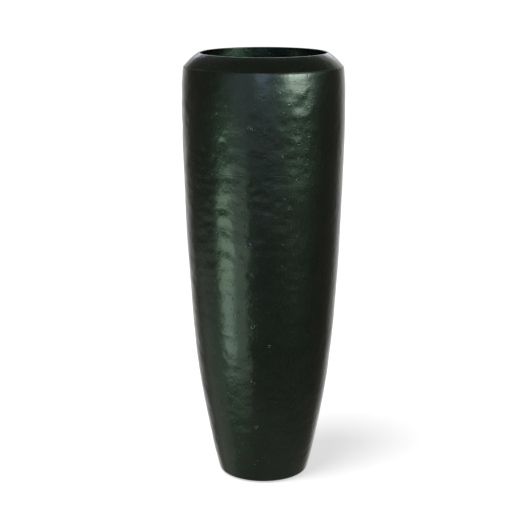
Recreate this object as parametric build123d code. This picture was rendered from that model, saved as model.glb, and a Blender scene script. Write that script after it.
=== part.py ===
from build123d import *
import os
from math import atan2, cos, pi, radians, sin

# A tall vase-shaped planter of rolled and hammered steel sheet, with a lift-out plastic liner.
# Lengths are millimetres, and a lean is the radius gained for each millimetre of height.
# Heights are measured from the underside of the shell's foot. The finished pieces are raised
# by the pads below it, so that the origin lies on the floor, under the middle of the planter.

# Outer line of the wall, from the foot's corner to the crease's corner:
# the radius at each station, and its rise above the station below
foot_radius = 101.1
foot_lean = 0.30
foot_round = 10.0
ankle_rise = 100.0
ankle_radius = 124.2
calf_rise = 130.0
calf_radius = 147.0
knee_rise = 190.0
knee_radius = 165.6
hip_rise = 230.0
hip_radius = 177.3
belly_rise = 180.0
belly_radius = 181.5
crease_rise = 109.3
crease_radius = 177.2
crease_lean = -0.12
crease_round = 8.0

# Shoulder, with its arc's bulge over a straight line, and the rod that rims the mouth,
# with the collar that hangs inside it, a little behind the rod's inside
shoulder_rise = 30.7
shoulder_bulge = 1.9
mouth_radius = 140.0
lip_rod_diameter = 4.5
collar_depth = 26.0
collar_setback = 0.3

# Sheet, and the heights of the pan and of the rolled courses below the top one
sheet = 1.5
pan_height = 16.0
foot_course_height = 165.0
lower_course_height = 181.0
middle_course_height = 362.0

# Weld beads, with each upright seam's turn about the axis. What is welded on inside
# is drawn with a hairline gap to the sheet, which the weld fills.
bead_width = 5.0
bead_rise = 1.4
seat_gap = 0.3
foot_seam_turn = 90.0
lower_seam_turn = 110.0
middle_seam_turn = 80.0
upper_seam_turn = 100.0
shoulder_seam_turn = 75.0

# Pads under the foot, inside its rounded edge
pad_count = 4
pad_turn = 45.0
pad_margin = 1.1
pad_diameter = 20.0
pad_height = 2.0
pad_edge_round = 0.5

# Crowned middle of the base pan, inside the pads
crown_margin = 8.0
crown_run = 12.0
crown_rise = 6.0
crown_round = 8.0

# Tabs that carry the liner
tab_count = 4
tab_turn = 45.0
tab_width = 28.0
tab_thickness = 3.0
tab_leg = 32.0
ledge_drop = 9.3
ledge_overlap = 10.0

# Lift-out liner
liner_mouth_clearance = 6.0
liner_ledge_clearance = 3.0
liner_depth = 285.0
liner_draft_degrees = 3.8
liner_wall = 2.5
liner_floor = 3.0
liner_corner_round = 12.0
liner_flange = 3.0
liner_flange_round = 1.0
hand_slot_length = 64.0
hand_slot_width = 18.0
hand_slot_drop = 22.0

# Points that carry the wall's line when it is moved inwards
moved_point_count = 24

# Heights and radii that follow from these
ankle_height = ankle_rise
calf_height = ankle_height + calf_rise
knee_height = calf_height + knee_rise
hip_height = knee_height + hip_rise
belly_height = hip_height + belly_rise
crease_height = belly_height + crease_rise
shell_height = crease_height + shoulder_rise
foot_seam_height = pan_height + foot_course_height
lower_seam_height = foot_seam_height + lower_course_height
upper_seam_height = lower_seam_height + middle_course_height
pad_circle_radius = foot_radius - foot_round - pad_margin - pad_diameter / 2
crown_radius = pad_circle_radius - pad_diameter / 2 - crown_margin - crown_run
ledge_height = crease_height - ledge_drop

reach = 2 * shell_height
pieces = {}


def rising(lean):
    """The unit direction of a line with this lean, walked upwards, as radius and height."""
    return Vector(lean, 1).normalized()


def outward(direction):
    """The side of a rising line that faces away from the axis."""
    return Vector(direction.Y, -direction.X)


def moved_corner(corner, first_side, second_side, inset):
    """A corner moved inwards, so that both of the lines that meet there move by the inset."""
    return corner - (first_side + second_side) * (inset / (1 + first_side.dot(second_side)))


def turned(outline):
    """A closed outline in radius and height, turned about the axis."""
    return revolve(Plane.XZ * make_face(outline), Axis.Z)


def rounded(solid, radius, height, size):
    """A turned solid with its circular edge at this radius and height rounded."""
    edges = solid.edges().filter_by(GeomType.CIRCLE)
    nearest = edges.sort_by(lambda edge: abs(edge.radius - radius) + abs(edge.center().Z - height))
    return fillet(nearest[0], size)


def band(low, high):
    """A level slice of space between two heights."""
    return Pos(0, 0, low) * Cylinder(
        reach, high - low, align=(Align.CENTER, Align.CENTER, Align.MIN)
    )


def spoke(turn, width):
    """An upright slab of space that runs out from the axis at this turn."""
    slab = Box(reach, width, reach, align=(Align.MIN, Align.CENTER, Align.MIN))
    return Rot(0, 0, turn) * slab


# The wall's line is one smooth curve through the body's stations
foot_corner = Vector(foot_radius, 0)
crease_corner = Vector(crease_radius, crease_height)
wall_line = Spline(
    foot_corner,
    (ankle_radius, ankle_height),
    (calf_radius, calf_height),
    (knee_radius, knee_height),
    (hip_radius, hip_height),
    (belly_radius, belly_height),
    crease_corner,
    tangents=(rising(foot_lean), rising(crease_lean)),
)

# The shoulder is an arc from the crease to where it runs onto the lip rod's outside
rod_radius = lip_rod_diameter / 2
rod_centre = Vector(mouth_radius + rod_radius, shell_height - rod_radius)
way_in = rod_centre - crease_corner
half_turn = 2 * atan2(2 * shoulder_bulge, way_in.length)
rim_angle = atan2(way_in.Y, way_in.X) - pi / 2 + half_turn
rim = rod_centre + Vector(cos(rim_angle), sin(rim_angle)) * rod_radius
chord = rim - crease_corner
shoulder_radius = (chord.dot(chord) / 4 + shoulder_bulge**2) / (2 * shoulder_bulge)
bulge_side = outward(chord.normalized())
shoulder_centre = crease_corner + chord * 0.5 - bulge_side * (shoulder_radius - shoulder_bulge)
shoulder_side = (crease_corner - shoulder_centre).normalized()
mouth_side = (rim - shoulder_centre).normalized()


def form(inset):
    """All that lies inside the sheet's outer face, when that face is moved inwards by the inset."""
    foot = moved_corner(foot_corner, Vector(0, -1), outward(rising(foot_lean)), inset)
    crease = moved_corner(crease_corner, outward(rising(crease_lean)), shoulder_side, inset)
    between = []
    for point in range(1, moved_point_count):
        place = point / moved_point_count
        side = outward((wall_line % place).normalized())
        between.append(wall_line @ place - side * inset)
    wall = Spline(foot, *between, crease, tangents=(rising(foot_lean), rising(crease_lean)))
    shoulder = ThreePointArc(
        crease,
        shoulder_centre + bulge_side * (shoulder_radius - inset),
        shoulder_centre + mouth_side * (shoulder_radius - inset),
    )
    floor = Polyline(
        shoulder @ 1,
        (0, (shoulder @ 1).Y),
        (0, crown_rise + inset),
        (crown_radius, crown_rise + inset),
        (crown_radius + crown_run, inset),
        foot,
    )
    solid = turned(wall + shoulder + floor)
    solid = rounded(solid, foot.X, foot.Y, foot_round - inset)
    solid = rounded(solid, crease.X, crease.Y, crease_round - inset)
    solid = rounded(solid, crown_radius, crown_rise + inset, crown_round + inset)
    return rounded(solid, crown_radius + crown_run, inset, crown_round - inset)


# Shell: a pressed base pan, four rolled courses and a raised shoulder, butted edge to edge.
# The mouth is cut at the rod's middle, and the shoulder's edge is hollowed to seat the rod.
hollow = form(sheet)
mouth = Pos(0, 0, shell_height) * Cylinder(rod_centre.X, shell_height - crease_height)
pieces["lip_rod"] = Pos(0, 0, rod_centre.Y) * Torus(rod_centre.X, rod_radius)
skin = form(0) - hollow - mouth - pieces["lip_rod"]
seams = [pan_height, foot_seam_height, lower_seam_height, upper_seam_height, crease_height]
courses = ["base_pan", "foot_course", "lower_course", "middle_course", "upper_course", "shoulder"]
for name, low, high in zip(courses, [0, *seams], [*seams, shell_height]):
    pieces[name] = skin & band(low, high)

# Mouth collar: a strip of the sheet rolled to a ring, hollowed along its top to seat the rod
collar_radius = mouth_radius + collar_setback
collar = band(rod_centre.Y - collar_depth, rod_centre.Y) & Cylinder(collar_radius + sheet, reach)
pieces["mouth_collar"] = collar - Cylinder(collar_radius, reach) - pieces["lip_rod"]

# Weld beads on the inside, round each girth seam and up each rolled sheet's own seam.
# An upright bead runs from one girth bead to the next, and the last one ends behind the collar.
seat = form(sheet + seat_gap)
bead_layer = seat - form(sheet + bead_rise)
half_bead = bead_width / 2
pieces["girth_welds"] = Compound(
    [bead_layer & band(seam - half_bead, seam + half_bead) for seam in seams]
)
seam_turns = [
    foot_seam_turn,
    lower_seam_turn,
    middle_seam_turn,
    upper_seam_turn,
    shoulder_seam_turn,
]
seam_tops = [seam - half_bead for seam in seams[1:]] + [shell_height - 2 * lip_rod_diameter]
pieces["seam_welds"] = Compound(
    [
        bead_layer & band(low + half_bead, high) & spoke(turn, bead_width)
        for turn, low, high in zip(seam_turns, seams, seam_tops)
    ]
)

# Liner tabs: bent steel straps, each with a leg welded to the wall and a ledge pointing inwards
flange_radius = mouth_radius - liner_mouth_clearance
ledge_radius = flange_radius - ledge_overlap
legs = (seat - form(sheet + tab_thickness)) & band(ledge_height - tab_leg, ledge_height)
ledges = seat & band(ledge_height - tab_thickness, ledge_height)
ledges -= Pos(0, 0, ledge_height) * Cylinder(ledge_radius, tab_leg)
tab_ring = legs + ledges
pieces["liner_tabs"] = Compound(
    [tab_ring & spoke(tab_turn + tab * 360 / tab_count, tab_width) for tab in range(tab_count)]
)

# Foot pads: rubber discs glued to the pan's flat ring, between its crown and its rounded edge
pad = Cylinder(pad_diameter / 2, pad_height, align=(Align.CENTER, Align.CENTER, Align.MAX))
pad = rounded(pad, pad_diameter / 2, -pad_height, pad_edge_round)
pieces["foot_pads"] = Compound(
    [place * pad for place in PolarLocations(pad_circle_radius, pad_count, start_angle=pad_turn)]
)

# Liner: a drafted plastic tub that hangs by its flange on the tabs, with two slots for the hands
liner_radius = ledge_radius - liner_ledge_clearance
liner_base = ledge_height - liner_depth
liner_top = ledge_height + liner_flange
draft_way = Vector(sin(radians(liner_draft_degrees)), cos(radians(liner_draft_degrees)))
draft_lean = draft_way.X / draft_way.Y
side_wall = liner_wall / draft_way.Y
floor_top = liner_base + liner_floor
base_radius = liner_radius - draft_lean * liner_depth
floor_radius = base_radius - side_wall + draft_lean * liner_floor
lip_radius = liner_radius - side_wall + draft_lean * liner_flange
liner = turned(
    Polyline(
        (0, liner_base),
        (base_radius, liner_base),
        (liner_radius, ledge_height),
        (flange_radius, ledge_height),
        (flange_radius, liner_top),
        (lip_radius, liner_top),
        (floor_radius, floor_top),
        (0, floor_top),
        close=True,
    )
)
liner = rounded(liner, base_radius, liner_base, liner_corner_round)
liner = rounded(liner, floor_radius, floor_top, liner_corner_round - liner_wall)
for flange_edge in (ledge_height, liner_top):
    liner = rounded(liner, flange_radius, flange_edge, liner_flange_round)
slot = extrude(Plane.YZ * SlotOverall(hand_slot_length, hand_slot_width), reach, both=True)
pieces["liner"] = liner - Pos(0, 0, ledge_height - hand_slot_drop) * slot

os.makedirs("parts", exist_ok=True)
for name, piece in pieces.items():
    raised = Compound([Pos(0, 0, pad_height) * solid for solid in piece.solids()])
    export_step(raised, f"parts/{name}.step")
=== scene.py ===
from math import atan2, cos, pi, radians, sin, sqrt, tan

import bpy
import numpy as np
from mathutils import Matrix, Vector


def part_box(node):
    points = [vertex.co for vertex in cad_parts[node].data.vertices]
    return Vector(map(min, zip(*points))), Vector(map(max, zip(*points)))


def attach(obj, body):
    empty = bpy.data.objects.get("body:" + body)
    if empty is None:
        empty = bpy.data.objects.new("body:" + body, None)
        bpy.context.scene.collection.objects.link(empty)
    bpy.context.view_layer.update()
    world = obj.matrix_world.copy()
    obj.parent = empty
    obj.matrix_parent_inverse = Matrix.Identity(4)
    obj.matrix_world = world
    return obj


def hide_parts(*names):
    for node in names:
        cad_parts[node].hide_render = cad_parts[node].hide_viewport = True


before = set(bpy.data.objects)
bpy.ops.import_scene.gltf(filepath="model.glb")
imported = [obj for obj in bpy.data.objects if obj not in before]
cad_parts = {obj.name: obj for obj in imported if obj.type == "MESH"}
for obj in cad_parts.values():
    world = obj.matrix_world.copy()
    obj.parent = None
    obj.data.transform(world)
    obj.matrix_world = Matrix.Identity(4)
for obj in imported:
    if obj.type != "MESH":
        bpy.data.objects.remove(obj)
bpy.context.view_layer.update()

# Base pan: a shallow dish pressed from 1.5 mm steel sheet. Its middle is crowned upwards, so that
# only a flat ring lies near the floor, and the rolled courses are welded onto its upstand.
mm = 0.001
sheet = 1.5 * mm
foot_radius = 101.1 * mm
foot_lean = 0.30
foot_round = 10.0 * mm
crown_radius = 50.0 * mm
crown_run = 12.0 * mm
crown_rise = 6.0 * mm
crown_round = 8.0 * mm
crease_lean = -0.12
crease_corner = Vector((177.2, 941.3)) * mm
steps_around = 384
outer_pitch = 3.0 * mm
inner_pitch = 9.0 * mm
pan_low, pan_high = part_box("base_pan")
foot_corner = Vector((foot_radius, pan_low.z))

# The wall's outer line as height over the floor and radius, at the foot's corner, ankle, calf,
# knee, hip, belly and crease
wall_stations = (
    (foot_corner.y, foot_corner.x),
    (102 * mm, 124.2 * mm),
    (232 * mm, 147.0 * mm),
    (422 * mm, 165.6 * mm),
    (652 * mm, 177.3 * mm),
    (832 * mm, 181.5 * mm),
    (crease_corner.y, crease_corner.x),
)


def smooth_leans(heights, radii, first, last):
    """The lean at each station that makes a cubic line through them all curve without a break."""
    rises = np.diff(heights)
    slopes = np.diff(radii) / rises
    leans = np.zeros(len(heights))
    leans[0], leans[-1] = first, last
    ties = np.eye(len(heights))
    for ring in range(1, len(heights) - 1):
        below, above = rises[ring - 1], rises[ring]
        ties[ring, ring - 1 : ring + 2] = above, 2 * (below + above), below
        leans[ring] = 3 * (above * slopes[ring - 1] + below * slopes[ring])
    return np.linalg.solve(ties, leans)


station_heights, station_radii = np.array(wall_stations).T
station_leans = smooth_leans(station_heights, station_radii, foot_lean, crease_lean)


def wall_point(height):
    """A point of the wall's outer face in radius and height, with the way that the face looks."""
    ring = int(np.clip(np.searchsorted(station_heights, height) - 1, 0, len(wall_stations) - 2))
    rise = station_heights[ring + 1] - station_heights[ring]
    climb = station_radii[ring + 1] - station_radii[ring]
    share = (height - station_heights[ring]) / rise
    left = 1 - share
    low_pull = station_leans[ring] * rise - climb
    high_pull = climb - station_leans[ring + 1] * rise
    radius = station_radii[ring] + share * climb
    radius += share * left * (left * low_pull + share * high_pull)
    lean = climb + (left - share) * (left * low_pull + share * high_pull)
    lean = (lean + share * left * (high_pull - low_pull)) / rise
    return Vector((radius, height)), Vector((1, -lean)).normalized()


def wall_run(low, high, pitch):
    """Points up the wall's outer face, about a pitch apart."""
    count = max(1, round((high - low) / pitch))
    return [wall_point(low + (high - low) * step / count) for step in range(count + 1)]


def front_point(height, turn):
    """A point of the wall's outer face, by height and turn from the front to the right."""
    radius = wall_point(height)[0].x
    return (radius * sin(radians(turn)), -radius * cos(radians(turn)), height)


def outward(way):
    """The side of an outline that faces out of the metal, for a walk along it in this direction."""
    return Vector((way.y, -way.x))


def bend(corner, way_in, way_out, radius, steps=8):
    """Points round a corner that is bent to a radius, each with the way that it looks."""
    turn = atan2(way_in.cross(way_out), way_in.dot(way_out))
    hand = 1 if turn > 0 else -1
    start = corner - way_in * (radius * tan(abs(turn) / 2))
    centre = start - outward(way_in) * (radius * hand)
    points = []
    for step in range(steps + 1):
        side = outward(way_in)
        side.rotate(Matrix.Rotation(turn * step / steps, 2))
        points.append((centre + side * (radius * hand), side))
    return points


def add(tree, kind, inputs=None, **settings):
    """Adds a node with its settings, and with values or other nodes' outputs on its inputs."""
    node = tree.nodes.new(kind)
    for name, value in settings.items():
        setattr(node, name, value)
    for name, value in (inputs or {}).items():
        if isinstance(value, bpy.types.NodeSocket):
            tree.links.new(value, node.inputs[name])
        else:
            node.inputs[name].default_value = value
    return node


def maths(tree, operation, *values):
    """The result of one sum on two or three numbers."""
    return add(tree, "ShaderNodeMath", dict(enumerate(values)), operation=operation).outputs[0]


def vector_maths(tree, operation, *values):
    """The result of one sum on one or two vectors."""
    node = add(tree, "ShaderNodeVectorMath", dict(enumerate(values)), operation=operation)
    return node.outputs["Value" if operation in ("LENGTH", "DISTANCE") else 0]


def scaled(tree, way, factor):
    """A vector times a number."""
    node = add(tree, "ShaderNodeVectorMath", {0: way, "Scale": factor}, operation="SCALE")
    return node.outputs[0]


def parts_of(tree, vector):
    """The three numbers that a vector is made of."""
    return add(tree, "ShaderNodeSeparateXYZ", {"Vector": vector}).outputs


def fade(tree, value, start, end, low=0.0, high=1.0):
    """A soft change from low to high as the value goes from start to end."""
    node = add(
        tree,
        "ShaderNodeMapRange",
        {"Value": value, "From Min": start, "From Max": end, "To Min": low, "To Max": high},
        interpolation_type="SMOOTHSTEP",
    )
    return node.outputs["Result"]


def noise(tree, point, scale, detail=2.0, roughness=0.5):
    """Soft noise about one half."""
    inputs = {"Vector": point, "Scale": scale, "Detail": detail, "Roughness": roughness}
    return add(tree, "ShaderNodeTexNoise", inputs).outputs[0]


def cells(tree, point, scale):
    """Scattered cells: the distance from the nearest one's middle, and its own random numbers."""
    found = add(tree, "ShaderNodeTexVoronoi", {"Vector": point, "Scale": scale}).outputs
    return found["Distance"], parts_of(tree, found["Color"])


def new_group(name, inputs, output, output_kind):
    """An empty geometry group with named inputs, each with its kind, and what comes in by them."""
    tree = bpy.data.node_groups.new(name, "GeometryNodeTree")
    for socket, kind in inputs.items():
        tree.interface.new_socket(socket, in_out="INPUT", socket_type=f"NodeSocket{kind}")
    tree.interface.new_socket(output, in_out="OUTPUT", socket_type=f"NodeSocket{output_kind}")
    return tree, add(tree, "NodeGroupInput").outputs


# Single dents deeper than the rest, as height, turn from the front to the right in degrees,
# radius and depth
dents = (
    (934 * mm, -1, 13 * mm, 0.35 * mm),
    (874 * mm, 27, 27 * mm, 1.00 * mm),
    (862 * mm, -62, 30 * mm, 0.80 * mm),
    (884 * mm, -84, 26 * mm, 1.00 * mm),
    (812 * mm, -89, 30 * mm, 1.30 * mm),
    (760 * mm, -76, 32 * mm, 0.90 * mm),
    (655 * mm, -30, 22 * mm, 0.75 * mm),
    (612 * mm, -29, 23 * mm, 0.80 * mm),
    (566 * mm, -28, 24 * mm, 0.80 * mm),
    (520 * mm, -68, 34 * mm, 0.80 * mm),
    (230 * mm, -62, 36 * mm, 0.80 * mm),
)

# The hammering all over, with how far a blow's bowl reaches from the middle of its cell, as a
# share of the cell, and the share of cells that have a knock
hammering_sizes = {
    "Wave width": 110 * mm,
    "Wave depth": 1.0 * mm,
    "Blow width": 46 * mm,
    "Blow height": 26 * mm,
    "Blow depth": 0.52 * mm,
    "Knock spacing": 30 * mm,
    "Knock width": 24 * mm,
    "Knock depth": 0.42 * mm,
}
blow_reach = 0.75
knock_share = 0.6

# Heights over which the waves and the blows come in, from none to full. The top course stays
# true where the tabs are welded to it, and the shoulder where it meets the rod.
waves_over_foot = (20 * mm, 300 * mm)
waves_under_tabs = (900 * mm, 820 * mm)
waves_over_tabs = (936 * mm, 945 * mm)
waves_under_rod = (966 * mm, 950 * mm)
blows_over_foot = (4 * mm, 50 * mm)
blows_under_rod = (966 * mm, 945 * mm)

# The side that the blows fell on hardest, as a turn about the axis, and their share opposite
hard_side = radians(205)
soft_share = 0.12


def hammering_tree():
    """How far the hammer has driven the wall in at a point of its outer face, in metres."""
    inputs = {"Point": "Vector"} | dict.fromkeys(hammering_sizes, "Float")
    tree, given = new_group("hammering", inputs, "Depth", "Float")
    for item in tree.interface.items_tree:
        if item.name in hammering_sizes:
            item.default_value = hammering_sizes[item.name]
    point = given["Point"]
    place = parts_of(tree, point)

    # Long waves that the rolls leave
    scale = maths(tree, "DIVIDE", 1.0, given["Wave width"])
    wave = noise(tree, point, scale, detail=1.0, roughness=0.4)
    wave = fade(tree, wave, 0.25, 0.75)
    wave = maths(tree, "MULTIPLY", wave, given["Wave depth"])
    wave = maths(tree, "MULTIPLY", wave, fade(tree, place["Z"], *waves_over_foot))
    under_tabs = fade(tree, place["Z"], *waves_under_tabs)
    over_tabs = fade(tree, place["Z"], *waves_over_tabs)
    wave = maths(tree, "MULTIPLY", wave, maths(tree, "MAXIMUM", under_tabs, over_tabs))
    wave = maths(tree, "MULTIPLY", wave, fade(tree, place["Z"], *waves_under_rod))

    # Overlapping oval blows, wider than high, each a shallow bowl
    oval = add(
        tree,
        "ShaderNodeCombineXYZ",
        {0: given["Blow width"], 1: given["Blow width"], 2: given["Blow height"]},
    ).outputs[0]
    blow = add(
        tree,
        "ShaderNodeTexVoronoi",
        {
            "Vector": vector_maths(tree, "DIVIDE", point, oval),
            "Scale": 1.0,
            "Smoothness": 0.35,
            "Randomness": 0.9,
        },
        feature="SMOOTH_F1",
    ).outputs["Distance"]
    blow = fade(tree, blow, blow_reach, 0.0)
    blow = maths(tree, "MULTIPLY", blow, given["Blow depth"])

    # Rounder knocks, on rather more than half of their cells
    away, lot = cells(tree, point, maths(tree, "DIVIDE", 1.0, given["Knock spacing"]))
    reach = maths(tree, "DIVIDE", given["Knock width"], given["Knock spacing"])
    reach = maths(tree, "MULTIPLY", reach, 0.5)
    bowl = fade(tree, maths(tree, "DIVIDE", away, reach), 1.0, 0.0)
    knock = maths(tree, "MULTIPLY", bowl, maths(tree, "LESS_THAN", lot["X"], knock_share))
    knock = maths(tree, "MULTIPLY", knock, given["Knock depth"])

    # The blows fall hardest on one side, and all of them die away at the foot and at the rod
    turn = maths(tree, "ARCTAN2", place["Y"], place["X"])
    side = maths(tree, "COSINE", maths(tree, "SUBTRACT", turn, hard_side))
    blow = maths(tree, "MULTIPLY", blow, fade(tree, side, -1.0, 0.6, soft_share, 1.0))
    blows = maths(tree, "ADD", blow, knock)
    blows = maths(tree, "MULTIPLY", blows, fade(tree, place["Z"], *blows_over_foot))
    blows = maths(tree, "MULTIPLY", blows, fade(tree, place["Z"], *blows_under_rod))
    depth = maths(tree, "ADD", wave, blows)
    for height, turn_right, radius, sinking in dents:
        away = vector_maths(tree, "DISTANCE", point, front_point(height, turn_right))
        depth = maths(tree, "ADD", depth, fade(tree, away, radius, 0.0, 0.0, sinking))
    add(tree, "NodeGroupOutput", {"Depth": depth})
    return tree


hammering = hammering_tree()


def driven_in(tree, point):
    """The hammering's depth at a point, inside another group."""
    return add(tree, "GeometryNodeGroup", {"Point": point}, node_tree=hammering).outputs["Depth"]


def painted(tree, geometry, finish):
    """Geometry as real faces in a material."""
    real = add(tree, "GeometryNodeRealizeInstances", {0: geometry}).outputs[0]
    inputs = {"Geometry": real, "Material": finish}
    return add(tree, "GeometryNodeSetMaterial", inputs).outputs[0]


sharp_angle = radians(40)
merge_distance = 0.01 * mm


def turned_sheet_tree():
    """Turns a closed section about the axis, and hammers both of its faces alike."""
    inputs = {
        "Section": "Geometry",
        "Core": "Float",
        "Steps around": "Int",
        "Hammered": "Float",
        "Finish": "Material",
    }
    tree, given = new_group("turned_sheet", inputs, "Sheet", "Geometry")
    section = add(tree, "GeometryNodeMeshToCurve", {0: given["Section"]}).outputs[0]
    circle = add(
        tree,
        "GeometryNodeCurvePrimitiveCircle",
        {"Resolution": given["Steps around"], "Radius": given["Core"]},
    ).outputs["Curve"]
    turned = add(
        tree, "GeometryNodeCurveToMesh", {"Curve": circle, "Profile Curve": section}
    ).outputs[0]
    across, up, into = (
        add(tree, "GeometryNodeInputNamedAttribute", {"Name": name}).outputs[0]
        for name in ("across", "up", "into")
    )
    position = add(tree, "GeometryNodeInputPosition").outputs[0]
    level = vector_maths(tree, "MULTIPLY", position, (1, 1, 0))
    level = vector_maths(tree, "NORMALIZE", level)
    lift = add(tree, "ShaderNodeCombineXYZ", {"Z": up}).outputs[0]
    side = vector_maths(tree, "ADD", scaled(tree, level, across), lift)
    face = vector_maths(tree, "ADD", position, scaled(tree, side, into))
    depth = maths(tree, "MULTIPLY", driven_in(tree, face), given["Hammered"])
    driven = scaled(tree, side, maths(tree, "MULTIPLY", depth, -1.0))
    hammered = add(
        tree, "GeometryNodeSetPosition", {"Geometry": turned, "Offset": driven}
    ).outputs[0]
    merged = add(
        tree, "GeometryNodeMergeByDistance", {0: hammered, "Distance": merge_distance}
    ).outputs[0]
    angle = add(tree, "GeometryNodeInputMeshEdgeAngle").outputs[0]
    smooth = add(
        tree, "GeometryNodeSetShadeSmooth", {"Geometry": merged, "Shade Smooth": True}
    ).outputs[0]
    sharp = add(
        tree,
        "GeometryNodeSetShadeSmooth",
        {
            "Geometry": smooth,
            "Selection": maths(tree, "GREATER_THAN", angle, sharp_angle),
            "Shade Smooth": False,
        },
        domain="EDGE",
    ).outputs[0]
    add(tree, "NodeGroupOutput", {"Sheet": painted(tree, sharp, given["Finish"])})
    return tree


turned_sheet = turned_sheet_tree()
core = 1.0 * mm


def new_piece(name, data):
    """An object in the scene, for a mesh, a lamp or a camera."""
    piece = bpy.data.objects.new(name, data)
    bpy.context.scene.collection.objects.link(piece)
    return piece


def make_by(piece, group, settings):
    """Gives a piece the mesh that a geometry group with these settings makes of it."""
    making = piece.modifiers.new("making", "NODES")
    making.node_group = group
    for item in group.interface.items_tree:
        if item.name in settings and item.in_out == "INPUT":
            making[item.identifier] = settings[item.name]
    finished = piece.evaluated_get(bpy.context.evaluated_depsgraph_get())
    made = bpy.data.meshes.new_from_object(finished)
    piece.modifiers.remove(making)
    piece.data = made
    return made


def closed_section(outer, inner, thickness):
    """A section of sheet: an outer face, and behind it an inner face a thickness deeper."""
    inside = [(place - side * thickness, side, thickness) for place, side in inner]
    outside = [(place, side, 0.0) for place, side in reversed(outer)]
    return inside + outside


def turned_piece(name, section, finish, hammered=1.0):
    """One mesh object: a section in radius and height, turned about the planter's axis."""
    mesh = bpy.data.meshes.new(name)
    # The sweep's own up is the section's minus Y, and its circle already has the core's radius
    places = [(place.x - core, -place.y, 0) for place, side, depth in section]
    edges = [(point, (point + 1) % len(section)) for point in range(len(section))]
    mesh.from_pydata(places, edges, [])
    attributes = {
        "across": [side.x for place, side, depth in section],
        "up": [side.y for place, side, depth in section],
        "into": [depth for place, side, depth in section],
    }
    for attribute, values in attributes.items():
        mesh.attributes.new(attribute, "FLOAT", "POINT").data.foreach_set("value", values)
    piece = new_piece(name, mesh)
    settings = {
        "Core": core,
        "Steps around": steps_around,
        "Hammered": hammered,
        "Finish": finish,
    }
    made = make_by(piece, turned_sheet, settings)
    made.name = name
    for attribute in attributes:
        made.attributes.remove(made.attributes[attribute])
    return piece


def linear(hex_colour):
    """An sRGB hex colour as the linear colour that shaders work in."""
    shares = [int(hex_colour[place : place + 2], 16) / 255 for place in (1, 3, 5)]
    return [
        share / 12.92 if share <= 0.04045 else ((share + 0.055) / 1.055) ** 2.4 for share in shares
    ] + [1.0]


def new_material(name):
    """A material with an empty node tree, and that tree."""
    material = bpy.data.materials.new(name)
    material.use_nodes = True
    material.node_tree.nodes.clear()
    return material, material.node_tree


def object_point(tree):
    """The point that is shaded, in metres from the planter's own origin."""
    return add(tree, "ShaderNodeTexCoord").outputs["Object"]


def mixed(tree, share, first, second):
    """A colour between two, by the share of the second."""
    inputs = {"Factor": share, "A": first, "B": second}
    return add(tree, "ShaderNodeMix", inputs, data_type="RGBA").outputs["Result"]


def surface(tree, inputs):
    """Ends a material with one shader."""
    shader = add(tree, "ShaderNodeBsdfPrincipled", inputs).outputs[0]
    add(tree, "ShaderNodeOutputMaterial", {"Surface": shader})


# The lacquer's slow change of shade, and how metallic its flake is, all over and less in a chip
tone_width = 90 * mm
flake_metallic = 0.93
chip_metallic_loss = 0.8

# The coat's relief: orange peel and a slow mottle, pits where the coat shrank back over the
# hammered sheet, and the dressed seams. A pit is from the least share of its width to all of it.
peel_width = 7 * mm
peel_height = 0.17 * mm
mottle_width = 18 * mm
mottle_height = 0.50 * mm
pit_spacing = 10 * mm
pit_width = 7 * mm
pit_depth = 0.24 * mm
pit_share = 0.7
least_pit = 0.4
filler_width = 60 * mm
groove_half_width = 1.6 * mm
groove_depth = 0.07 * mm

# The coat's marks: painted glints, light specks in the lacquer's colour for the light that the
# peel's tiny bumps catch, drawn a little larger than they are so that they show, and light chips.
# Chips are given by their height and by their turn from the front, in degrees to the right.
glint_spacing = 6 * mm
glint_width = 1.8 * mm
glint_share = 0.5
glint_strength = 0.45
chip_spacing = 3.4 * mm
chip_width = 2.0 * mm
chip_share = 0.4
chip_cluster = 8 * mm
chips = (
    (824 * mm, -9.5),
    (571 * mm, -10.5),
    (388 * mm, -7.5),
    (345 * mm, 6.0),
    (318 * mm, -1.5),
    (259 * mm, -9.5),
    (145 * mm, -8.0),
    (54 * mm, -8.0),
)


def coat_relief(tree, spot):
    """The height of the coat's face at a spot."""
    peel = noise(tree, spot, 1 / peel_width, roughness=0.6)
    height = maths(tree, "MULTIPLY", peel, peel_height)
    away, lot = cells(tree, spot, 1 / pit_spacing)
    reach = maths(tree, "MULTIPLY_ADD", lot["Y"], 1 - least_pit, least_pit)
    reach = maths(tree, "MULTIPLY", reach, pit_width / 2 / pit_spacing)
    pit = fade(tree, maths(tree, "DIVIDE", away, reach), 1.0, 0.0)
    pit = maths(tree, "MULTIPLY", pit, maths(tree, "LESS_THAN", lot["X"], pit_share))
    height = maths(tree, "SUBTRACT", height, maths(tree, "MULTIPLY", pit, pit_depth))
    mottle = noise(tree, spot, 1 / mottle_width, detail=1.5)
    height = maths(tree, "MULTIPLY_ADD", mottle, mottle_height, height)

    # The dressed girth seams: a groove of a few hundredths, left open in places by the filler
    level = parts_of(tree, spot)["Z"]
    filled = fade(tree, noise(tree, spot, 1 / filler_width, detail=1.0), 0.45, 0.6)
    for course in ("foot_course", "lower_course", "middle_course"):
        off = maths(tree, "ABSOLUTE", maths(tree, "SUBTRACT", level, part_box(course)[1].z))
        groove = maths(tree, "MULTIPLY", fade(tree, off, groove_half_width, 0.0), filled)
        height = maths(tree, "SUBTRACT", height, maths(tree, "MULTIPLY", groove, groove_depth))
    return height


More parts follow.
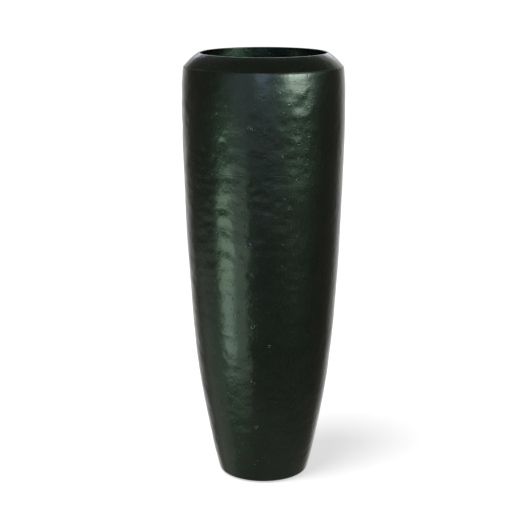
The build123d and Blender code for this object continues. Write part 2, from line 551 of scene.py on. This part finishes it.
def coat_glints_and_chips(tree, spot):
    """Painted glints as light specks thinly all over, and where knocks have chipped the coat."""
    away, lot = cells(tree, spot, 1 / glint_spacing)
    reach = maths(tree, "MULTIPLY", lot["Y"], glint_width / 2 / glint_spacing)
    glint_speck = maths(tree, "LESS_THAN", away, reach)
    glint_speck = maths(tree, "MULTIPLY", glint_speck, maths(tree, "LESS_THAN", lot["X"], glint_share))
    away, lot = cells(tree, spot, 1 / chip_spacing)
    chip = maths(tree, "LESS_THAN", away, chip_width / 2 / chip_spacing)
    chip = maths(tree, "MULTIPLY", chip, maths(tree, "LESS_THAN", lot["X"], chip_share))
    nearest = 1.0
    for height, turn in chips:
        away = vector_maths(tree, "DISTANCE", spot, front_point(height, turn))
        nearest = maths(tree, "MINIMUM", away, nearest)
    chip = maths(tree, "MULTIPLY", chip, maths(tree, "LESS_THAN", nearest, chip_cluster))
    return maths(tree, "MULTIPLY", glint_speck, glint_strength), chip


def green_metallic_lacquer():
    """Dark green lacquer with metal flake over hammered steel, under a clear gloss coat.

    The flake layer gives broad green highlights and the coat gives the sharp grey ones. Sprayed
    by hand over hammered sheet, it has orange peel, small pits and a few light chips. Light specks
    in its colour all over are painted glints.
    """
    material, tree = new_material("green_metallic_lacquer")
    spot = object_point(tree)
    tone = noise(tree, spot, 1 / tone_width, detail=3.0, roughness=0.55)
    base = mixed(tree, fade(tree, tone, 0.3, 0.7), linear("#33493a"), linear("#3d5444"))
    relief = coat_relief(tree, spot)
    normal = add(tree, "ShaderNodeBump", {"Height": relief, "Distance": 1.0}).outputs[0]
    # Painted glints: light specks mixed into the base colour, together with the real chips
    painted_glints, chip = coat_glints_and_chips(tree, spot)
    glints_and_chips = maths(tree, "MAXIMUM", painted_glints, chip)
    dulled = maths(tree, "MULTIPLY", chip, chip_metallic_loss)
    inputs = {
        "Base Color": mixed(tree, glints_and_chips, base, linear("#bdd0bb")),
        "Metallic": maths(tree, "SUBTRACT", flake_metallic, dulled),
        "Roughness": 0.30,
        "Normal": normal,
        "Coat Weight": 1.0,
        "Coat Roughness": 0.08,
        "Coat Normal": normal,
    }
    surface(tree, inputs)
    return material


lacquer = green_metallic_lacquer()


def shell_piece(node, section, hammered=1.0):
    """A piece of the painted shell that stands for a CAD node."""
    piece = turned_piece(f"{node}_sheet", section, lacquer, hammered)
    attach(piece, "shell")
    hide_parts(node)


along = Vector((1, 0))
crown_way = Vector((crown_run, -crown_rise)).normalized()
upstand_way = Vector((foot_lean, 1)).normalized()
pan_floor = pan_low.z
pan_line = [(Vector((0, pan_floor + crown_rise)), outward(along))]
pan_line += bend(Vector((crown_radius, pan_floor + crown_rise)), along, crown_way, crown_round)
pan_line += bend(Vector((crown_radius + crown_run, pan_floor)), crown_way, along, crown_round)
pan_line += bend(foot_corner, along, upstand_way, foot_round, steps=14)
pan_line += wall_run(pan_line[-1][0].y, pan_high.z, outer_pitch)[1:]
shell_piece("base_pan", closed_section(pan_line, pan_line, sheet))

# Rolled courses: four rings of steel sheet, rolled and hammered to the vase's curve, butted edge
# to edge and welded on the inside. The outside is dressed flush, so that the seams hardly show.
for course in ("foot_course", "lower_course", "middle_course"):
    low, high = (corner.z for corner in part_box(course))
    outer = wall_run(low, high, outer_pitch)
    inner = wall_run(low, high, inner_pitch)
    shell_piece(course, closed_section(outer, inner, sheet))

# The top course turns into the shoulder at a crease, bent to a radius and cut at its middle
crease_round = 8.0 * mm
shoulder_bulge = 1.9 * mm
cut_margin = 0.1 * mm
rod_low, rod_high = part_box("lip_rod")
rod_radius = (rod_high.z - rod_low.z) / 2
rod_centre = Vector((rod_high.x - rod_radius, rod_high.z - rod_radius))
way_in = rod_centre - crease_corner
rim_side = way_in.normalized()
rim_side.rotate(Matrix.Rotation(2 * atan2(2 * shoulder_bulge, way_in.length) - pi / 2, 2))
rim = rod_centre + rim_side * rod_radius
chord = rim - crease_corner
shoulder_radius = (chord.length_squared / 4 + shoulder_bulge**2) / (2 * shoulder_bulge)
middle_side = outward(chord.normalized())
shoulder_centre = crease_corner + chord / 2 - middle_side * (shoulder_radius - shoulder_bulge)
shoulder_side = (crease_corner - shoulder_centre).normalized()
shoulder_way = Vector((-shoulder_side.y, shoulder_side.x))
crease_way = Vector((crease_lean, 1)).normalized()
crease_line = bend(crease_corner, crease_way, shoulder_way, crease_round, steps=10)
low, high = (corner.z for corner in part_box("upper_course"))
below = [point for point in crease_line if point[0].y < high - cut_margin]
above = [point for point in crease_line if point[0].y > high + cut_margin]
share = (high - below[-1][0].y) / (above[0][0].y - below[-1][0].y)
cut = tuple(first.lerp(second, share) for first, second in zip(below[-1], above[0]))
upper_line = wall_run(low, below[0][0].y, outer_pitch)[:-1] + below + [cut]
shell_piece("upper_course", closed_section(upper_line, upper_line, sheet))

# Shoulder: a raised ring that turns the wall in to the mouth. Its upper edge is hollowed to seat
# the rod, and it is welded to the top course inside the crease.
arc_step = 1.6 * mm
first_turn = atan2(shoulder_side.y, shoulder_side.x)
last_turn = atan2((rim - shoulder_centre).y, (rim - shoulder_centre).x)
setback = (above[-1][0] - crease_corner).length
first_turn += setback / shoulder_radius
arc_count = round(shoulder_radius * (last_turn - first_turn) / arc_step)
shoulder_line = [cut] + above
for step in range(1, arc_count + 1):
    turn = first_turn + (last_turn - first_turn) * step / arc_count
    side = Vector((cos(turn), sin(turn)))
    shoulder_line.append((shoulder_centre + side * shoulder_radius, side))
shell_piece("shoulder", closed_section(shoulder_line, shoulder_line, sheet))

# Lip rod: a round steel bar bent to a ring and welded along the shoulder's edge, to stiffen the
# mouth and make it safe to the hand. It is painted with the rest.
rod_steps = 24
rod_section = []
for step in range(rod_steps):
    turn = -2 * pi * step / rod_steps
    side = Vector((cos(turn), sin(turn)))
    rod_section.append((rod_centre + side * rod_radius, side, 0.0))
shell_piece("lip_rod", rod_section, hammered=0.0)

# Mouth collar: a strip of the same sheet rolled to a ring and hung inside the mouth, where it
# hides the shoulder's raw edge. It is welded to the rod, which its top edge is hollowed to fit.
collar_low, collar_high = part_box("mouth_collar")
collar_face = collar_high.x
collar_runs = []
for radius in (collar_face, collar_face - sheet):
    top = rod_centre.y - sqrt(rod_radius**2 - (radius - rod_centre.x) ** 2)
    count = round((top - collar_low.z) / outer_pitch)
    heights = [collar_low.z + (top - collar_low.z) * step / count for step in range(count + 1)]
    collar_runs.append([(Vector((collar_face, height)), along) for height in heights])
shell_piece("mouth_collar", closed_section(*collar_runs, sheet))

# Weld beads: fillets of weld metal laid inside, round each girth seam and up each course's own
# seam. Each is a row of overlapping ripples, left as welded and sprayed with the shell.
bead_width = 5.0 * mm
bead_rise = 1.4 * mm
bead_ripple = 2.4 * mm
bead_sides = 10
steps_per_ripple = 3
ripple_swell = 0.09


def weld_bead_tree():
    """Lays a rippled bead along a path on the wall's inner face, and follows the hammering."""
    inputs = {
        "Path": "Geometry",
        "Width": "Float",
        "Rise": "Float",
        "Ripple": "Float",
        "Finish": "Material",
    }
    tree, given = new_group("weld_bead", inputs, "Bead", "Geometry")
    position = add(tree, "GeometryNodeInputPosition").outputs[0]
    inward = vector_maths(tree, "MULTIPLY", position, (-1, -1, 0))
    inward = vector_maths(tree, "NORMALIZE", inward)
    driven = scaled(tree, inward, driven_in(tree, position))
    path = add(tree, "GeometryNodeMeshToCurve", {0: given["Path"]}).outputs[0]
    path = add(tree, "GeometryNodeSetPosition", {"Geometry": path, "Offset": driven}).outputs[0]
    step = maths(tree, "DIVIDE", given["Ripple"], steps_per_ripple)
    path = add(
        tree, "GeometryNodeResampleCurve", {"Curve": path, "Length": step}, mode="LENGTH"
    ).outputs[0]
    facing = add(
        tree, "GeometryNodeSetCurveNormal", {"Curve": path, "Normal": inward}, mode="FREE"
    ).outputs[0]
    walked = add(tree, "GeometryNodeSplineParameter").outputs["Length"]
    beat = maths(tree, "MULTIPLY", maths(tree, "DIVIDE", walked, given["Ripple"]), 2 * pi)
    beat = maths(tree, "SINE", beat)
    swell = maths(tree, "MULTIPLY_ADD", beat, ripple_swell, 1 - ripple_swell)
    ring = add(
        tree, "GeometryNodeCurvePrimitiveCircle", {"Resolution": bead_sides, "Radius": 1.0}
    ).outputs["Curve"]
    shape = add(
        tree,
        "ShaderNodeCombineXYZ",
        {"X": given["Rise"], "Y": maths(tree, "MULTIPLY", given["Width"], 0.5), "Z": 1.0},
    ).outputs[0]
    ring = add(tree, "GeometryNodeTransform", {"Geometry": ring, "Scale": shape}).outputs[0]
    bead = add(
        tree,
        "GeometryNodeCurveToMesh",
        {"Curve": facing, "Profile Curve": ring, "Scale": swell, "Fill Caps": True},
    ).outputs[0]
    smooth = add(tree, "GeometryNodeSetShadeSmooth", {"Geometry": bead}).outputs[0]
    add(tree, "NodeGroupOutput", {"Bead": painted(tree, smooth, given["Finish"])})
    return tree


weld_bead = weld_bead_tree()


def bead_piece(node, paths, closed):
    """Beads along paths, each a list of points on the wall's inner face, for a CAD node."""
    mesh = bpy.data.meshes.new(node)
    points, edges = [], []
    for path in paths:
        first = len(points)
        points += path
        edges += [(point, point + 1) for point in range(first, len(points) - 1)]
        if closed:
            edges.append((len(points) - 1, first))
    mesh.from_pydata(points, edges, [])
    piece = new_piece(f"{node}_beads", mesh)
    settings = {"Width": bead_width, "Rise": bead_rise, "Ripple": bead_ripple, "Finish": lacquer}
    make_by(piece, weld_bead, settings)
    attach(piece, "shell")
    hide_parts(node)


def around(place, turn):
    """A point of a section, turned about the axis."""
    return (place.x * cos(turn), place.x * sin(turn), place.y)


seamed = ("base_pan", "foot_course", "lower_course", "middle_course")
seam_heights = [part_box(node)[1].z for node in seamed]
seam_places = [wall_point(height) for height in seam_heights] + [cut]
girths = [
    [around(place - side * sheet, 2 * pi * step / steps_around) for step in range(steps_around)]
    for place, side in seam_places
]
bead_piece("girth_welds", girths, closed=True)

# Each course's own seam, by its turn about the axis in degrees, from the foot course up, and the
# shoulder's
seam_turns = (90, 110, 80, 100)
shoulder_seam_turn = 75
half_bead = bead_width / 2
weld_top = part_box("seam_welds")[1].z
runs = [
    (turn, wall_run(low + half_bead, high - half_bead, outer_pitch))
    for turn, low, high in zip(seam_turns, seam_heights, seam_heights[1:] + [cut[0].y])
]
shoulder_low = cut[0].y + half_bead
shoulder_run = [point for point in shoulder_line if shoulder_low < point[0].y < weld_top]
runs.append((shoulder_seam_turn, shoulder_run))
uprights = [
    [around(place - side * sheet, radians(turn)) for place, side in run] for turn, run in runs
]
bead_piece("seam_welds", uprights, closed=False)


def dress(node, finish):
    """Gives a CAD node's own mesh a material."""
    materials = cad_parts[node].data.materials
    materials.clear()
    materials.append(finish)


# Liner tabs: four straps of 3 mm steel bent to an angle, welded inside the top course and
# sprayed with it. The liner's flange rests on their ledges.
dress("liner_tabs", lacquer)

# Foot pads: four discs of moulded rubber glued under the pan's flat ring, so that the foot
# neither scratches the floor nor stands in the wet.
bloom_width = 6 * mm
rubber_grain_width = 0.6 * mm
rubber_grain_height = 0.05 * mm


def moulded_rubber():
    """Black rubber: dull, with the fine grain of its mould and a little bloom."""
    material, tree = new_material("moulded_rubber")
    spot = object_point(tree)
    bloom = noise(tree, spot, 1 / bloom_width, detail=4.0)
    grain = noise(tree, spot, 1 / rubber_grain_width)
    bump = add(tree, "ShaderNodeBump", {"Height": grain, "Distance": rubber_grain_height})
    inputs = {
        "Base Color": mixed(tree, bloom, linear("#121212"), linear("#262524")),
        "Roughness": 0.8,
        "Normal": bump.outputs[0],
    }
    surface(tree, inputs)
    return material


dress("foot_pads", moulded_rubber())

# Liner: a tub of injection-moulded polypropylene that hangs by its flange on the tabs and lifts
# straight out by two slots for the hands.
haze_width = 40 * mm
flow_ring_spacing = 23 * mm
flow_ring_height = 0.06 * mm
liner_grain_width = 0.9 * mm
liner_grain_height = 0.05 * mm


def moulded_polypropylene():
    """Black polypropylene: a satin spark-eroded grain, with faint rings where the melt slowed."""
    material, tree = new_material("moulded_polypropylene")
    spot = object_point(tree)
    haze = noise(tree, spot, 1 / haze_width, detail=3.0)
    grain = noise(tree, spot, 1 / liner_grain_width, detail=3.0)
    grain = maths(tree, "MULTIPLY", grain, liner_grain_height)
    height = parts_of(tree, spot)["Z"]
    rings = maths(tree, "SINE", maths(tree, "MULTIPLY", height, 2 * pi / flow_ring_spacing))
    rings = fade(tree, rings, 0.9, 1.0)
    relief = maths(tree, "MULTIPLY_ADD", rings, flow_ring_height, grain)
    inputs = {
        "Base Color": mixed(tree, haze, linear("#17181a"), linear("#242527")),
        "Roughness": fade(tree, haze, 0.3, 0.7, 0.42, 0.52),
        "Normal": add(tree, "ShaderNodeBump", {"Height": relief, "Distance": 1.0}).outputs[0],
    }
    surface(tree, inputs)
    return material


dress("liner", moulded_polypropylene())

# Studio: a plain pale floor, a soft lamp from the front left for the shadow, and a room that
# only shows in the gloss, as soft panels on dark walls
floor_reach = 8.0
floor_glow = 0.62
floor_white = 0.8


def pale_floor():
    """White paper, lit from within so that it stays near white in the shadow too."""
    material, tree = new_material("pale_floor")
    inputs = {
        "Base Color": (floor_white, floor_white, floor_white, 1),
        "Roughness": 1.0,
        "Specular IOR Level": 0.0,
        "Emission Color": (1, 1, 1, 1),
        "Emission Strength": floor_glow,
    }
    surface(tree, inputs)
    return material


floor_mesh = bpy.data.meshes.new("studio_floor")
floor_corners = [
    (-floor_reach, -floor_reach, 0),
    (floor_reach, -floor_reach, 0),
    (floor_reach, floor_reach, 0),
    (-floor_reach, floor_reach, 0),
]
floor_mesh.from_pydata(floor_corners, [], [(0, 1, 2, 3)])
floor_mesh.materials.append(pale_floor())
floor = new_piece("studio_floor", floor_mesh)
floor.visible_glossy = False
floor.visible_diffuse = False

# The key lamp, with the way that its shadow falls, its height and its breadth, in degrees
shadow_turn = 43
lamp_elevation = 68
lamp_breadth = 32
lamp = bpy.data.lights.new("key_lamp", "SUN")
lamp.energy = 2.0
lamp.angle = radians(lamp_breadth)
shadow_way = Vector((cos(radians(shadow_turn)), sin(radians(shadow_turn)), 0))
lamp_way = shadow_way * cos(radians(lamp_elevation))
lamp_way.z = -sin(radians(lamp_elevation))
key = new_piece("key_lamp", lamp)
key.rotation_euler = lamp_way.to_track_quat("-Z", "Y").to_euler()
key.visible_glossy = False

world = bpy.data.worlds.new("studio_room")
bpy.context.scene.world = world
world.use_nodes = True
room = world.node_tree
room.nodes.clear()
ways = parts_of(room, add(room, "ShaderNodeTexCoord").outputs["Generated"])
azimuth = maths(room, "ARCTAN2", ways["X"], maths(room, "MULTIPLY", ways["Y"], -1.0))
azimuth = maths(room, "DEGREES", azimuth)
elevation = maths(room, "DEGREES", maths(room, "ARCSINE", ways["Z"]))


def panel(colour, strength, sides, levels):
    """A soft panel of light between two azimuths and two levels, each edge with its own fade.

    Sides and levels are (outer start, full start, full end, outer end) in degrees. Azimuth 0 is
    the camera's side, and it grows to the camera's right.
    """
    share = strength
    for value, edges in ((azimuth, sides), (elevation, levels)):
        share = maths(room, "MULTIPLY", share, fade(room, value, edges[0], edges[1]))
        share = maths(room, "MULTIPLY", share, fade(room, value, edges[3], edges[2]))
    return scaled(room, linear(colour)[:3], share)


def round_lamp(colour, strength, middle, spread):
    """A round soft lamp, given by its middle and its half width and height, in degrees."""
    off = [
        maths(room, "DIVIDE", maths(room, "SUBTRACT", value, centre), half)
        for value, centre, half in zip((azimuth, elevation), middle, spread)
    ]
    away = add(room, "ShaderNodeCombineXYZ", {0: off[0], 1: off[1]}).outputs[0]
    away = vector_maths(room, "LENGTH", away)
    share = maths(room, "MULTIPLY", fade(room, away, 1.5, 0.0), strength)
    return scaled(room, linear(colour)[:3], share)


round_the_room = (-182, -181, 181, 182)
lamps = (
    panel("#ffe9e4", 0.085, round_the_room, (-92, -91, 91, 92)),
    panel("#f8f4ee", 0.10, round_the_room, (-92, -91, -45, -22)),
    panel("#eeffee", 2.0, (-80, -60, -54, -42), (-35, -22, -19, -10)),
    panel("#f6fff6", 0.62, (-54, -44, -28, -18), (-40, -26, -18, -8)),
    panel("#f4fff4", 0.22, (-135, -105, -82, -70), (-50, -32, -20, -12)),
    round_lamp("#f8f2f2", 6.8, (49, 11), (21, 13)),
    round_lamp("#f4f4ff", 0.9, (56, 20), (40, 20)),
    panel("#c4ccff", 1.0, (-16, -3, 3, 14), (-4, 9, 40, 60)),
    panel("#dce0ff", 0.32, (-75, -30, 20, 40), (-20, -2, 40, 60)),
    panel("#ffffff", 0.55, (124, 165, 181, 182), (-45, -25, 12, 42)),
    panel("#ffffff", 0.55, (-182, -181, -165, -126), (-45, -25, -5, 22)),
    panel("#e8ecff", 1.8, (155, 169, 181, 182), (6, 18, 40, 62)),
    panel("#e8ecff", 1.5, (-182, -181, -166, -154), (6, 18, 40, 62)),
)
light = lamps[0]
for lamp_share in lamps[1:]:
    light = vector_maths(room, "ADD", light, lamp_share)

# The gloss shows the panels, the camera a white room, and all else gets a weak even light
even_light = 0.15
room_white = 1.05
paths = add(room, "ShaderNodeLightPath").outputs
glossy = add(room, "ShaderNodeBackground", {"Color": light}).outputs[0]
even, white = (
    add(room, "ShaderNodeBackground", {"Color": (1, 1, 1, 1), "Strength": strength}).outputs[0]
    for strength in (even_light, room_white)
)
seen = add(room, "ShaderNodeMixShader", {0: paths["Is Glossy Ray"], 1: even, 2: glossy}).outputs[0]
seen = add(room, "ShaderNodeMixShader", {0: paths["Is Camera Ray"], 1: seen, 2: white}).outputs[0]
add(room, "ShaderNodeOutputWorld", {"Surface": seen})
bpy.context.scene.view_settings.view_transform = "Standard"

# The photograph's camera, with its tilt below level in degrees
camera_tilt = 13.56
camera_data = bpy.data.cameras.new("camera")
camera_data.sensor_width = 36
camera_data.lens = 93.0
camera = new_piece("camera", camera_data)
camera.location = (0.0012, -3.025, 1.222)
camera.rotation_euler = (radians(90 - camera_tilt), 0, 0)
bpy.context.scene.camera = camera
